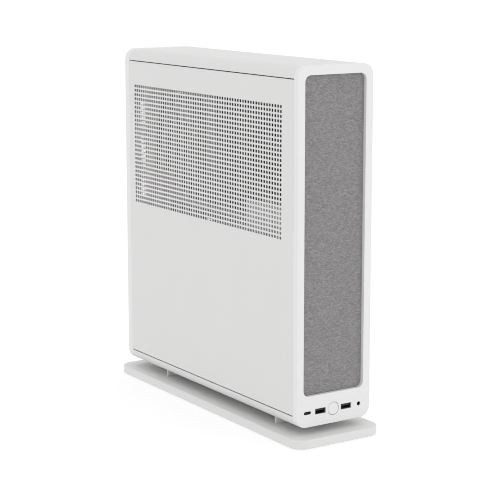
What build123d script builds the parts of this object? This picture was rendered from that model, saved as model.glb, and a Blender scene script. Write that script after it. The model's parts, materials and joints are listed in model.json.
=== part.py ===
# Slim upright desktop computer, built as it comes apart on a bench.
# Millimetres. +Z up, the front faces -Y, the motherboard side faces -X.
# The origin is the middle of the base plate's underside, on the desk.

from build123d import *
import os

os.makedirs("parts", exist_ok=True)

# ---------------------------------------------------------------- driving dimensions
WIDTH = 100.0
LENGTH = 374.0
BODY_LOW = 20.2
BODY_HIGH = 415.0
CORNER = 13.0
BODY_MID_Y = 1.5
BEZEL_DEPTH = 7.2
RIM_DEPTH = 11.3
SEAM_LOW = 33.9
SEAM_HIGH = 401.0
SEAM = 0.9
SKIN = 2.0
SHEET = 1.0
RUN = 0.05

PLATE_WIDTH = 115.0
PLATE_LENGTH = 398.0
PLATE_CORNER = 15.0
PAD = 1.0
PLATE_TOP = 11.0
LEG_HALF = 37.5
LEG_THICK = 2.6
LEG_Y = (-127.1, 111.5)
LEG_SCREW_X = 15.0

WINDOW_HALF = 40.5
WINDOW_LOW = 55.1
WINDOW_HIGH = 405.0
WINDOW_CORNER = 7.0
WINDOW_DEEP = 4.1
CLOTH = 0.8

PORT_Z = 36.6
USB_C_X = -34.95
USB_A_X = (-17.5, 17.5)
JACK_X = 34.95
BUTTON_R = 7.0
BUTTON_HOLE_R = 7.5
BUTTON_TRAVEL = 1.0

HOLE_PITCH = 5.28
HOLE_COLUMNS = 61
HOLE_ROWS = 28
HOLES_HIGH_Z = 370.4
HOLES_REAR_Y = 163.0
SLOT_HIGH = 1.6
SLOTS_PER_ROW = 4
SLOT_RIB = 4.0

# ---------------------------------------------------------------- worked out from them
HALF = WIDTH / 2
FRONT = BODY_MID_Y - LENGTH / 2
REAR = BODY_MID_Y + LENGTH / 2
SIDE_FRONT = FRONT + BEZEL_DEPTH
SIDE_REAR = REAR - RIM_DEPTH
BODY_HEIGHT = BODY_HIGH - BODY_LOW
BODY_MID_Z = (BODY_HIGH + BODY_LOW) / 2
WINDOW_MID_Z = (WINDOW_HIGH + WINDOW_LOW) / 2
WINDOW_HEIGHT = WINDOW_HIGH - WINDOW_LOW

FRAME_HALF = 47.0
FRAME_FRONT = -172.0
FRAME_REAR = 174.6
FLOOR_Z = BODY_LOW + SKIN
ROOF_Z = BODY_HIGH - SKIN
SHELF_Z = 212.0
TRAY_X = 32.0
IO_BOARD_TOP = 33.0
IO_BOARD_LOW = IO_BOARD_TOP - 1.6

TURN = {"x": (0, 90, 0), "y": (90, 0, 0), "z": (0, 0, 0)}


def block(x, y, z, mode=Mode.ADD):
    """A box between its (low, high) spans along X, Y and Z."""
    with Locations(((x[0] + x[1]) / 2, (y[0] + y[1]) / 2, (z[0] + z[1]) / 2)):
        Box(x[1] - x[0], y[1] - y[0], z[1] - z[0], mode=mode)


def rod(centre, radius, length, axis, mode=Mode.ADD):
    """A cylinder about its centre, along one axis."""
    with Locations(Location(centre, TURN[axis])):
        Cylinder(radius, length, mode=mode)


def around(middle, width):
    """The (low, high) span of a width about its middle."""
    return (middle - width / 2, middle + width / 2)


def at_y(y):
    """The plane across the machine at y; its own axes are X and Z."""
    return Plane.XZ.offset(-y)


def write(builder, label):
    """Labels a finished piece and writes it as its own STEP file."""
    builder.part.label = label
    export_step(builder.part, f"parts/{label}.step")


# ---------------------------------------------------------------- base and legs
with BuildPart() as base_plate:
    with BuildSketch(Plane.XY.offset(PAD)):
        RectangleRounded(PLATE_WIDTH, PLATE_LENGTH, PLATE_CORNER)
    extrude(amount=PLATE_TOP - PAD)
    chamfer(base_plate.faces().sort_by(Axis.Z)[0].edges(), 0.6)
    fillet(base_plate.faces().sort_by(Axis.Z)[-1].edges(), 1.2)
    for leg_y in LEG_Y:
        for side in (-1, 1):
            rod((side * LEG_SCREW_X, leg_y, 6), 1.6, 20, "z", Mode.SUBTRACT)
            rod((side * LEG_SCREW_X, leg_y, 2.5), 3.2, 3.0, "z", Mode.SUBTRACT)
write(base_plate, "base_plate")

with BuildPart() as base_pads:
    with BuildSketch(Plane.XY):
        with GridLocations(78, 340, 2, 2):
            SlotOverall(40, 12, rotation=90)
    extrude(amount=PAD)
write(base_pads, "base_pads")

with BuildPart() as stand_legs:
    for leg_y in LEG_Y:
        block((-LEG_HALF, LEG_HALF), around(leg_y, LEG_THICK), (PLATE_TOP, BODY_LOW))
        for side in (-1, 1):
            boss_z = (PLATE_TOP + BODY_LOW) / 2
            rod((side * LEG_SCREW_X, leg_y, boss_z), 4, BODY_LOW - PLATE_TOP, "z")
            rod((side * LEG_SCREW_X, leg_y, boss_z), 1.6, 30, "z", Mode.SUBTRACT)
write(stand_legs, "stand_legs")


# ---------------------------------------------------------------- outer covers
def cover(low, high, holes):
    """A rounded channel: the body's outline between two heights, hollowed to its skin."""
    with BuildPart() as channel:
        with BuildSketch(at_y(SIDE_FRONT + 0.1)):
            with Locations((0, BODY_MID_Z)):
                RectangleRounded(WIDTH, BODY_HEIGHT, CORNER)
                RectangleRounded(
                    WIDTH - 2 * SKIN, BODY_HEIGHT - 2 * SKIN, CORNER - SKIN, mode=Mode.SUBTRACT
                )
            with Locations((0, (low + high) / 2)):
                Rectangle(WIDTH + 2, high - low, mode=Mode.INTERSECT)
        extrude(amount=-(SIDE_REAR - SIDE_FRONT - 0.2))
        for x, y in holes:
            rod((x, y, BODY_LOW), 1.6, 10, "z", Mode.SUBTRACT)
    return channel


screw_places = [(side * LEG_SCREW_X, leg_y) for leg_y in LEG_Y for side in (-1, 1)]
write(cover(BODY_LOW - 1, SEAM_LOW - SEAM / 2, screw_places), "bottom_cover")
write(cover(SEAM_HIGH + SEAM / 2, BODY_HIGH + 1, []), "top_cover")

with BuildPart() as front_bezel:
    with BuildSketch(at_y(FRONT)):
        with Locations((0, BODY_MID_Z)):
            RectangleRounded(WIDTH, BODY_HEIGHT, CORNER)
        with Locations((0, WINDOW_MID_Z)):
            RectangleRounded(
                2 * WINDOW_HALF, WINDOW_HEIGHT, WINDOW_CORNER, mode=Mode.SUBTRACT
            )
    extrude(amount=-BEZEL_DEPTH)
    fillet(front_bezel.faces().sort_by(Axis.Y)[0].outer_wire().edges(), 0.8)
    # hollow behind the row of sockets
    block((-44, 44), (FRONT + 2.5, SIDE_FRONT + 1), (26.5, 50), Mode.SUBTRACT)
    with BuildSketch(at_y(FRONT - 1)):
        with Locations((USB_C_X, PORT_Z)):
            SlotOverall(9.6, 3.6)
        with Locations(*((x, PORT_Z) for x in USB_A_X)):
            RectangleRounded(14.4, 6.4, 0.6)
        with Locations((JACK_X, PORT_Z)):
            Circle(2.4)
        with Locations((0, PORT_Z)):
            Circle(BUTTON_HOLE_R)
    extrude(amount=-6, mode=Mode.SUBTRACT)
write(front_bezel, "front_bezel")

cloth_y = FRONT + WINDOW_DEEP
with BuildPart() as front_fabric:
    with BuildSketch(at_y(cloth_y)):
        with Locations((0, WINDOW_MID_Z)):
            RectangleRounded(2 * WINDOW_HALF - 0.4, WINDOW_HEIGHT - 0.4, WINDOW_CORNER)
    extrude(amount=-CLOTH)
write(front_fabric, "front_fabric")

with BuildPart() as fabric_carrier:
    with BuildSketch(at_y(cloth_y + CLOTH)):
        with Locations((0, WINDOW_MID_Z)):
            RectangleRounded(2 * WINDOW_HALF - 0.4, WINDOW_HEIGHT - 0.4, WINDOW_CORNER)
            with GridLocations(24, 12, 3, 27):
                Rectangle(20, 8, mode=Mode.SUBTRACT)
    extrude(amount=-2.0)
write(fabric_carrier, "fabric_carrier")

with BuildPart() as rear_frame:
    with BuildSketch(at_y(SIDE_REAR)):
        with Locations((0, BODY_MID_Z)):
            RectangleRounded(WIDTH, BODY_HEIGHT, CORNER)
            RectangleRounded(WIDTH - 8, BODY_HEIGHT - 8, CORNER - 4, mode=Mode.SUBTRACT)
    extrude(amount=-RIM_DEPTH)
    fillet(rear_frame.faces().sort_by(Axis.Y)[-1].outer_wire().edges(), 1.5)
write(rear_frame, "rear_frame")


# ---------------------------------------------------------------- steel frame
def stud_places():
    """Where a side panel snaps on: (y, z) of its four studs."""
    return [(y, z) for y in (-150.0, 150.0) for z in (46.0, 389.0)]


with BuildPart() as chassis_floor:
    floor_z = (FLOOR_Z, FLOOR_Z + SHEET)
    block((-FRAME_HALF + 10, FRAME_HALF - 10), (FRAME_FRONT + SHEET, FRAME_REAR), floor_z)
    # pressed-in threaded bosses for the stand screws, and posts for the front socket board
    for x, y in screw_places:
        rod((x, y, FLOOR_Z + SHEET + 1.5), 3.2, 3, "z")
        rod((x, y, FLOOR_Z), 1.5 + RUN, 20, "z", Mode.SUBTRACT)
    for x in (-36, 36):
        rod((x, -160, (IO_BOARD_LOW + FLOOR_Z + SHEET) / 2), 2.5, IO_BOARD_LOW - FLOOR_Z - SHEET, "z")
    with BuildSketch(Plane.XY.offset(FLOOR_Z)):
        with GridLocations(0, 16, 1, 12):
            SlotOverall(20, 4)
    extrude(amount=SHEET, mode=Mode.SUBTRACT)
write(chassis_floor, "chassis_floor")

with BuildPart() as chassis_roof:
    roof_z = (ROOF_Z - SHEET, ROOF_Z)
    block((-FRAME_HALF + 10, FRAME_HALF - 10), (FRAME_FRONT + SHEET, FRAME_REAR), roof_z)
    with BuildSketch(Plane.XY.offset(ROOF_Z - SHEET)):
        with GridLocations(0, 12, 1, 26):
            SlotOverall(60, 5)
    extrude(amount=SHEET, mode=Mode.SUBTRACT)
write(chassis_roof, "chassis_roof")

with BuildPart() as chassis_front_wall:
    with BuildSketch(at_y(FRAME_FRONT)):
        with Locations((0, BODY_MID_Z)):
            RectangleRounded(2 * FRAME_HALF, ROOF_Z - FLOOR_Z, CORNER - SKIN)
        with Locations((0, 40)):
            Rectangle(88, 24, mode=Mode.SUBTRACT)
        with Locations((0, 130)):
            Rectangle(70, 130, mode=Mode.SUBTRACT)
        with Locations((0, 316)):
            Rectangle(50, 84, mode=Mode.SUBTRACT)
    extrude(amount=-SHEET)
write(chassis_front_wall, "chassis_front_wall")

with BuildPart() as chassis_rails:
    for side in (-1, 1):
        rail_x = sorted((side * (FRAME_HALF - 1.5), side * FRAME_HALF))
        for rail_z in (46.0, 389.0):
            block(rail_x, (FRAME_FRONT + SHEET, FRAME_REAR), around(rail_z, 10))
        for y, z in stud_places():
            rod((side * FRAME_HALF, y, z), 3.1, 10, "x", Mode.SUBTRACT)
write(chassis_rails, "chassis_rails")

with BuildPart() as panel_clips:
    for side in (-1, 1):
        for y, z in stud_places():
            rod((side * (FRAME_HALF - 2), y, z), 3.1, 4.0, "x")
            rod((side * (FRAME_HALF - 2), y, z), 2.0 + RUN, 12, "x", Mode.SUBTRACT)
write(panel_clips, "panel_clips")

with BuildPart() as mid_shelf:
    block((-45, TRAY_X), (FRAME_FRONT + SHEET, FRAME_REAR), (SHELF_Z, SHELF_Z + SHEET))
    block((-12, 2), (60, 155), (SHELF_Z - 1, SHELF_Z + 3), Mode.SUBTRACT)
    with BuildSketch(Plane.XY.offset(SHELF_Z)):
        with Locations((-10, -60)):
            with GridLocations(0, 14, 1, 12):
                SlotOverall(44, 5)
    extrude(amount=SHEET, mode=Mode.SUBTRACT)
    # folded tab that holds the drive
    block((-33, -32), (-165, -60), (SHELF_Z + SHEET, 256))
write(mid_shelf, "mid_shelf")

with BuildPart() as board_tray:
    with BuildSketch(Plane.YZ.offset(TRAY_X)):
        with Locations(((-40 + FRAME_REAR) / 2, (SHELF_Z + ROOF_Z - SHEET) / 2)):
            Rectangle(FRAME_REAR + 40, ROOF_Z - SHEET - SHELF_Z)
        with Locations((95, 315)):
            RectangleRounded(76, 76, 6, mode=Mode.SUBTRACT)
    extrude(amount=SHEET)
write(board_tray, "board_tray")

IO_MID_X = 4.0
IO_WIDTH = 40.0
IO_MID_Z = 308.0
IO_HEIGHT = 158.0
SLOT_MID_X = 4.0
SLOT_WIDTH = 40.0
SLOT_MID_Z = 104.0
SLOT_HEIGHT = 118.0
INLET_Z = 194.0
UPPER_VENT_X = -33.0
UPPER_VENT_MID_Z = 290.0
LOWER_VENT_X = -31.0

with BuildPart() as rear_panel:
    with BuildSketch(at_y(FRAME_REAR)):
        with Locations((0, BODY_MID_Z)):
            RectangleRounded(2 * FRAME_HALF, ROOF_Z - FLOOR_Z, CORNER - SKIN)
        with Locations((IO_MID_X, IO_MID_Z)):
            Rectangle(IO_WIDTH, IO_HEIGHT, mode=Mode.SUBTRACT)
        with Locations((SLOT_MID_X, SLOT_MID_Z)):
            Rectangle(SLOT_WIDTH, SLOT_HEIGHT, mode=Mode.SUBTRACT)
        with Locations((0, INLET_Z)):
            RectangleRounded(30, 22, 2, mode=Mode.SUBTRACT)
        # a narrow column of vents beside the board's sockets, a wider one beside the card's
        with Locations((UPPER_VENT_X, UPPER_VENT_MID_Z)):
            with GridLocations(0, 6, 1, 20):
                SlotOverall(7, 3, mode=Mode.SUBTRACT)
        with Locations((LOWER_VENT_X, SLOT_MID_Z)):
            with GridLocations(0, 9, 1, 12):
                SlotOverall(18, 4, mode=Mode.SUBTRACT)
    extrude(amount=-1.2)
write(rear_panel, "rear_panel")


# ---------------------------------------------------------------- lift-off side panels
def slot_rows(top_z):
    """The ventilated field: one row of slots for each row of holes, on the active sketch."""
    field = HOLE_PITCH * (HOLE_COLUMNS - 1) + SLOT_HIGH
    slot = (field - SLOT_RIB * (SLOTS_PER_ROW - 1)) / SLOTS_PER_ROW
    middle_y = HOLES_REAR_Y - HOLE_PITCH * (HOLE_COLUMNS - 1) / 2
    middle_z = top_z - HOLE_PITCH * (HOLE_ROWS - 1) / 2
    with Locations((middle_y, middle_z)):
        with GridLocations(slot + SLOT_RIB, HOLE_PITCH, SLOTS_PER_ROW, HOLE_ROWS):
            Rectangle(slot, SLOT_HIGH, mode=Mode.SUBTRACT)


def side_panel(side, slot_tops):
    """A steel sheet with folded top and bottom edges; side is -1 on the left, 1 on the right."""
    low = SEAM_LOW + SEAM / 2
    high = SEAM_HIGH - SEAM / 2
    outer = HALF if side > 0 else -HALF + SHEET
    with BuildPart() as panel:
        with BuildSketch(Plane.YZ.offset(outer - SHEET)):
            with Locations((BODY_MID_Y - 2.05, (low + high) / 2)):
                Rectangle(SIDE_REAR - SIDE_FRONT - 0.4, high - low)
            for top_z in slot_tops:
                slot_rows(top_z)
        extrude(amount=SHEET)
        fold_x = sorted((side * (HALF - SHEET), side * (HALF - 5)))
        for fold_z in ((low, low + SHEET), (high - SHEET, high)):
            block(fold_x, (-165, 165), fold_z)
    return panel


def panel_studs(side):
    """Four studs with flanges, welded inside a side panel."""
    with BuildPart() as studs:
        for y, z in stud_places():
            rod((side * (HALF - SHEET - 0.4), y, z), 5, 0.8, "x")
            rod((side * (HALF - SHEET - 3), y, z), 2.0, 6, "x")
    return studs


write(side_panel(-1, [HOLES_HIGH_Z]), "left_side_panel")
write(side_panel(1, [HOLES_HIGH_Z, 206.0]), "right_side_panel")
write(panel_studs(-1), "left_panel_studs")
write(panel_studs(1), "right_panel_studs")


# ---------------------------------------------------------------- fans
def fan_plane(centre, facing):
    """A fan's own plane: its air leaves along -Z, its face looks along facing on X."""
    return Plane(origin=centre, x_dir=(0, 1, 0), z_dir=(facing, 0, 0))


def fan_frame(centre, facing, size, depth, bore):
    """A square frame with a round duct, four screw holes and a motor mount on four struts."""
    plane = fan_plane(centre, facing)
    with BuildPart() as frame:
        with BuildSketch(plane):
            RectangleRounded(size, size, 4)
            Circle(bore, mode=Mode.SUBTRACT)
            with GridLocations(size * 0.89, size * 0.89, 2, 2):
                Circle(1.6, mode=Mode.SUBTRACT)
        extrude(amount=depth / 2, both=True)
        with BuildSketch(plane.offset(-depth / 2)):
            Circle(bore * 0.34)
            with PolarLocations(bore * 0.65, 4, start_angle=45):
                Rectangle(bore * 0.8, 4)
            Circle(2.0 + RUN, mode=Mode.SUBTRACT)
        extrude(amount=2.5)
    return frame


def fan_rotor(centre, facing, depth, bore, blades):
    """A hub, pitched blades and the shaft that runs in the frame's motor mount."""
    plane = fan_plane(centre, facing)
    low = -depth / 2 + 3.2
    high = depth / 2 - 0.8
    hub = bore * 0.34
    root = hub * 0.9
    chord = (high - low) * 1.15
    with BuildPart() as rotor:
        with BuildSketch(plane.offset(low)):
            Circle(hub)
        extrude(amount=high - low)
        with Locations(plane.offset((low + high) / 2)):
            with PolarLocations(root, blades):
                with Locations(Location((0, 0, 0), (38, 0, 0))):
                    Box(bore - 1.2 - root, chord, 1.4, align=(Align.MIN, Align.CENTER, Align.CENTER))
        with BuildSketch(plane.offset(low - 3)):
            Circle(2.0)
        extrude(amount=3.2)
    return rotor


CPU_Y, CPU_Z = 95.0, 315.0
BOARD_X = 24.0
COOLER_FAN = (-26.0, CPU_Y, CPU_Z)
write(fan_frame(COOLER_FAN, -1, 92, 15, 43), "cooler_fan_frame")
write(fan_rotor(COOLER_FAN, -1, 15, 43, 9), "cooler_fan_rotor")

CASE_FAN = (28.0, -98.0, 118.0)
write(fan_frame(CASE_FAN, 1, 140, 25, 66), "case_fan_frame")
write(fan_rotor(CASE_FAN, 1, 25, 66, 9), "case_fan_rotor")

with BuildPart() as fan_bracket:
    with BuildSketch(Plane.YZ.offset(40.5)):
        with Locations((CASE_FAN[1], CASE_FAN[2])):
            Rectangle(144, 134)
            Circle(64, mode=Mode.SUBTRACT)
            with GridLocations(124.6, 124.6, 2, 2):
                Circle(1.6, mode=Mode.SUBTRACT)
    extrude(amount=SHEET)
write(fan_bracket, "fan_bracket")

# ---------------------------------------------------------------- motherboard and cooler
BOARD_SIDE = 170.0
BOARD_REAR = 173.0
BOARD_LOW = 222.0
board_y = (BOARD_REAR - BOARD_SIDE, BOARD_REAR)
board_z = (BOARD_LOW, BOARD_LOW + BOARD_SIDE)
standoff_places = [
    (y, z) for y in (board_y[0] + 6.35, board_y[1] - 8) for z in (board_z[0] + 6.35, board_z[1] - 8)
]

with BuildPart() as motherboard:
    block((BOARD_X, BOARD_X + 1.6), board_y, board_z)
    for y, z in standoff_places:
        rod((BOARD_X, y, z), 1.8, 10, "x", Mode.SUBTRACT)
write(motherboard, "motherboard")

with BuildPart() as board_standoffs:
    for y, z in standoff_places:
        rod(((BOARD_X + 1.6 + TRAY_X) / 2, y, z), 3.0, TRAY_X - BOARD_X - 1.6, "x")
        rod((BOARD_X + 1.6, y, z), 1.6, 6, "x", Mode.SUBTRACT)
write(board_standoffs, "board_standoffs")

with BuildPart() as machine_screws:
    for y, z in standoff_places:
        rod((BOARD_X + 1.5, y, z), 1.5, 5, "x")
        rod((BOARD_X - 1, y, z), 3.0, 2, "x")
    for x, y in screw_places:
        rod((x, y, 15.5), 1.5, 23.0, "z")
        rod((x, y, 3.0), 2.9, 2.0, "z")
write(machine_screws, "machine_screws")

with BuildPart() as processor:
    block((BOARD_X - 4, BOARD_X), around(CPU_Y, 50), around(CPU_Z, 50))
    block((BOARD_X - 6, BOARD_X - 4), around(CPU_Y, 36), around(CPU_Z, 36))
write(processor, "processor")

with BuildPart() as cooler_heatsink:
    base_x = BOARD_X - 6
    block((base_x - 4, base_x), around(CPU_Y, 44), around(CPU_Z, 44))
    block((base_x - 8, base_x - 4), around(CPU_Y, 88), around(CPU_Z, 88))
    with Locations(((-18.5 + base_x - 8) / 2, CPU_Y, CPU_Z)):
        with GridLocations(0, 4, 1, 22):
            Box(base_x - 8 + 18.5, 0.8, 88)
write(cooler_heatsink, "cooler_heatsink")

with BuildPart() as memory_modules:
    for row in range(2):
        memory_y = CPU_Y - 52 - 10 * row
        block((BOARD_X - 9, BOARD_X), around(memory_y, 7), (242, 380))
        block((BOARD_X - 32, BOARD_X - 9), around(memory_y, 4), (244, 378))
write(memory_modules, "memory_modules")

with BuildPart() as board_heatsinks:
    block((BOARD_X - 26, BOARD_X), (118, 140), (366, 388))
    block((BOARD_X - 14, BOARD_X), (54, 110), (366, 388))
    with Locations((BOARD_X - 26, 129, 377)):
        with GridLocations(0, 4, 1, 5):
            Box(12, 2, 24, mode=Mode.SUBTRACT)
    with Locations((BOARD_X - 14, 82, 377)):
        with GridLocations(0, 5, 1, 10):
            Box(10, 2.4, 24, mode=Mode.SUBTRACT)
write(board_heatsinks, "board_heatsinks")

with BuildPart() as storage_stick:
    block((BOARD_X - 3.5, BOARD_X - 2.0), (56, 136), (243, 265))
    block((BOARD_X - 2.0, BOARD_X), (128, 136), (243, 265))
    block((BOARD_X - 6.0, BOARD_X - 3.5), (62, 126), (245, 263))
write(storage_stick, "storage_stick")

# ---------------------------------------------------------------- rear sockets
CARD_X = -10.0
CARD_Y = (-18.0, 172.0)
CARD_Z = (46.0, 165.0)
CARD_PORT_Z = (60, 84, 108)
port_back = 150.0
port_face = FRAME_REAR + 1.4

with BuildPart() as io_shield:
    with BuildSketch(at_y(FRAME_REAR - 0.4)):
        with Locations((IO_MID_X, IO_MID_Z)):
            Rectangle(IO_WIDTH + 4, IO_HEIGHT + 4)
        with Locations((15.25, 372), (15.25, 350)):
            Rectangle(18.5, 16, mode=Mode.SUBTRACT)
        with Locations((16.25, 326), (16.25, 302)):
            Rectangle(16.5, 16, mode=Mode.SUBTRACT)
        with Locations((14.5, 278)):
            Rectangle(20, 17, mode=Mode.SUBTRACT)
        with Locations((16, 254)):
            Circle(3.3, mode=Mode.SUBTRACT)
        with Locations((16, 242)):
            Circle(3.3, mode=Mode.SUBTRACT)
    extrude(amount=0.4)
write(io_shield, "io_shield")

with BuildPart() as display_ports:
    for z in (372, 350):
        block((7, BOARD_X), (port_back, port_face), around(z, 15))
        block((12.5, 17.5), (port_face - 9, port_face + 1), around(z, 13), Mode.SUBTRACT)
        block((14.4, 15.6), (port_face - 9, port_face - 1), around(z, 10))
    for z in CARD_PORT_Z:
        block((CARD_X + 1.6, CARD_X + 10), (150, CARD_Y[1] - 1.5), around(z, 16))
        block((CARD_X + 2.6, CARD_X + 9), (150, CARD_Y[1]), around(z, 6.6))
        block((CARD_X + 3.6, CARD_X + 8), (CARD_Y[1] - 8, CARD_Y[1] + 1), around(z, 5.4), Mode.SUBTRACT)
write(display_ports, "display_ports")

with BuildPart() as rear_usb_ports:
    for z in (326, 302):
        block((8.5, BOARD_X), (port_back, port_face), around(z, 15))
        for x in (11.7, 18.7):
            block(around(x, 4.6), (port_face - 12, port_face + 1), around(z, 12.4), Mode.SUBTRACT)
            block(around(x + 1.1, 1.8), (port_face - 12, port_face - 1), around(z, 11))
write(rear_usb_ports, "rear_usb_ports")

with BuildPart() as network_port:
    block((5, BOARD_X), (port_back, port_face), around(278, 16))
    block((8, 16), (port_face - 14, port_face + 1), around(278, 12), Mode.SUBTRACT)
    block((15.9, 18.5), (port_face - 14, port_face + 1), around(278, 6), Mode.SUBTRACT)
write(network_port, "network_port")

with BuildPart() as rear_audio_jacks:
    for z in (254, 242):
        block((12, BOARD_X), (port_back, FRAME_REAR - 1.5), around(z, 8))
        rod((16, (FRAME_REAR - 1.5 + port_face) / 2, z), 3.0, port_face - FRAME_REAR + 1.5, "y")
        rod((16, port_face - 7, z), 1.8, 14.4, "y", Mode.SUBTRACT)
write(rear_audio_jacks, "rear_audio_jacks")

INLET_DEEP = 16.0
with BuildPart() as power_inlet:
    inlet_back = FRAME_REAR - 20
    block((-14, 14), (inlet_back, FRAME_REAR + 1.2), around(INLET_Z, 20))
    block((-19, 19), (FRAME_REAR + 1.2, FRAME_REAR + 3.0), around(INLET_Z, 24))
    cavity_y = (FRAME_REAR + 3.0 - INLET_DEEP, FRAME_REAR + 4)
    block((-12, 12), cavity_y, around(INLET_Z, 16.4), Mode.SUBTRACT)
    for pin_x in (-7, 0, 7):
        lift = 2.0 if pin_x == 0 else -1.0
        block(around(pin_x, 2), (cavity_y[0], cavity_y[0] + 12), around(INLET_Z + lift, 4))
write(power_inlet, "power_inlet")

# ---------------------------------------------------------------- power supply
PSU_X = (-31.0, 31.0)
PSU_Y = (-168.0, -43.0)
PSU_Z = (262.0, 362.0)
PSU_FAN = (-21.0, -112.0, 312.0)
WALL = 1.2

with BuildPart() as power_supply_case:
    block(PSU_X, PSU_Y, PSU_Z)
    inner = [(span[0] + WALL, span[1] - WALL) for span in (PSU_X, PSU_Y, PSU_Z)]
    block(*inner, mode=Mode.SUBTRACT)
    rod((PSU_X[0], PSU_FAN[1], PSU_FAN[2]), 42, 8, "x", Mode.SUBTRACT)
    with BuildSketch(at_y(PSU_Y[1] + 1)):
        with Locations((0, 312.5)):
            with GridLocations(16, 12, 2, 6):
                Rectangle(12, 8)
    extrude(amount=4, both=True, mode=Mode.SUBTRACT)
write(power_supply_case, "power_supply_case")

with BuildPart() as power_supply_grille:
    with BuildSketch(fan_plane((PSU_X[0], PSU_FAN[1], PSU_FAN[2]), -1)):
        for ring in range(1, 7):
            Circle(7.0 * ring + 0.6)
            Circle(7.0 * ring - 0.6, mode=Mode.SUBTRACT)
            with PolarLocations(21.5, 4, start_angle=45):
                Rectangle(43, 1.6)
        Circle(6.4)
    extrude(amount=1.6)
write(power_supply_grille, "power_supply_grille")

write(fan_frame(PSU_FAN, -1, 92, 15, 43), "power_supply_fan_frame")
write(fan_rotor(PSU_FAN, -1, 15, 43, 11), "power_supply_fan_rotor")

with BuildPart() as power_supply_bracket:
    block((PSU_X[1], TRAY_X), (PSU_Y[0], PSU_Y[1]), (255, 369))
    block((31.5, 45), (PSU_Y[1] - 1, PSU_Y[1]), (255, 369))
    rod((TRAY_X, -105, 312), 30, 6, "x", Mode.SUBTRACT)
write(power_supply_bracket, "power_supply_bracket")

# ---------------------------------------------------------------- graphics card
CARD_FANS = (("graphics_fan_rear", 120.0), ("graphics_fan_front", 28.0))
CARD_FAN_X = 25.5
CARD_FAN_Z = 105.0
CARD_BORE = 43.0

with BuildPart() as graphics_board:
    block((CARD_X, CARD_X + 1.6), (CARD_Y[0], CARD_Y[1] - 1.5), CARD_Z)
write(graphics_board, "graphics_board")

with BuildPart() as graphics_heatsink:
    block((CARD_X + 1.6, CARD_X + 6), (0, 150), (60, 150))
    fin_x = (CARD_X + 6, CARD_FAN_X - 8.5)
    with Locations((sum(fin_x) / 2, 75, 105)):
        with GridLocations(0, 5, 1, 30):
            Box(fin_x[1] - fin_x[0], 1.0, 104)
    for pipe_z in (80, 105, 130):
        rod(((fin_x[0] + fin_x[1]) / 2, 75, pipe_z), 3, 146, "y")
write(graphics_heatsink, "graphics_heatsink")

with BuildPart() as graphics_shroud:
    shroud_y = (CARD_Y[0] + 1, CARD_Y[1] - 4)
    block((CARD_FAN_X - 7.5, CARD_FAN_X + 7.5), shroud_y, (CARD_Z[0] + 1, CARD_Z[1] - 2))
    for _, y in CARD_FANS:
        rod((CARD_FAN_X, y, CARD_FAN_Z), CARD_BORE, 30, "x", Mode.SUBTRACT)
    for _, y in CARD_FANS:
        for turn in (0, 90):
            strut = (3.5, 2 * CARD_BORE + 2) if turn else (2 * CARD_BORE + 2, 3.5)
            block(
                (CARD_FAN_X - 7.5, CARD_FAN_X - 5), around(y, strut[0]), around(CARD_FAN_Z, strut[1])
            )
        rod((CARD_FAN_X - 6.25, y, CARD_FAN_Z), 12, 2.5, "x")
        rod((CARD_FAN_X - 6.25, y, CARD_FAN_Z), 2.0 + RUN, 8, "x", Mode.SUBTRACT)
write(graphics_shroud, "graphics_shroud")

for name, y in CARD_FANS:
    write(fan_rotor((CARD_FAN_X, y, CARD_FAN_Z), 1, 15, CARD_BORE, 11), f"{name}_rotor")

with BuildPart() as graphics_bracket:
    block((-15, 23), (CARD_Y[1] - 1.5, CARD_Y[1] - 0.5), (46, 163))
    for z in CARD_PORT_Z:
        block((-12, 4), (CARD_Y[1] - 3, CARD_Y[1]), around(z, 7), Mode.SUBTRACT)
    with BuildSketch(at_y(CARD_Y[1] - 1.5)):
        with Locations((13, 104)):
            with GridLocations(0, 7, 1, 14):
                SlotOverall(12, 3.4)
    extrude(amount=-1.0, mode=Mode.SUBTRACT)
write(graphics_bracket, "graphics_bracket")

with BuildPart() as riser_card:
    block((CARD_X - 3, CARD_X + 5), (62, 152), (CARD_Z[1], CARD_Z[1] + 11))
    block((CARD_X, CARD_X + 1.6), (64, 150), (CARD_Z[1] + 11, 226))
write(riser_card, "riser_card")

# ---------------------------------------------------------------- drive
with BuildPart() as storage_drive:
    block((-32, -25), (-163, -63), (217, 257))
write(storage_drive, "storage_drive")

# ---------------------------------------------------------------- front row of sockets and the button
PORT_FACE = FRONT + 0.9

with BuildPart() as front_io_board:
    block((-43, 43), (FRONT + 6, -155), (IO_BOARD_LOW, IO_BOARD_TOP))
write(front_io_board, "front_io_board")


def usb_a(x):
    """A full-size socket: a folded shell on two feet, and the tongue inside it."""
    block(around(x, 13.1), (PORT_FACE, PORT_FACE + 14), around(PORT_Z, 5.8))
    block(around(x, 12.3), (PORT_FACE - 1, PORT_FACE + 12), around(PORT_Z, 5.0), Mode.SUBTRACT)
    block(around(x, 11.0), (PORT_FACE + 1, PORT_FACE + 13), around(PORT_Z + 1.2, 1.8))
    for foot in (-5.5, 5.5):
        block(around(x + foot, 2), (PORT_FACE + 6, PORT_FACE + 12), (IO_BOARD_TOP, PORT_Z - 2.8))


with BuildPart() as usb_a_ports:
    for port_x in USB_A_X:
        usb_a(port_x)
write(usb_a_ports, "usb_a_ports")

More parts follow.
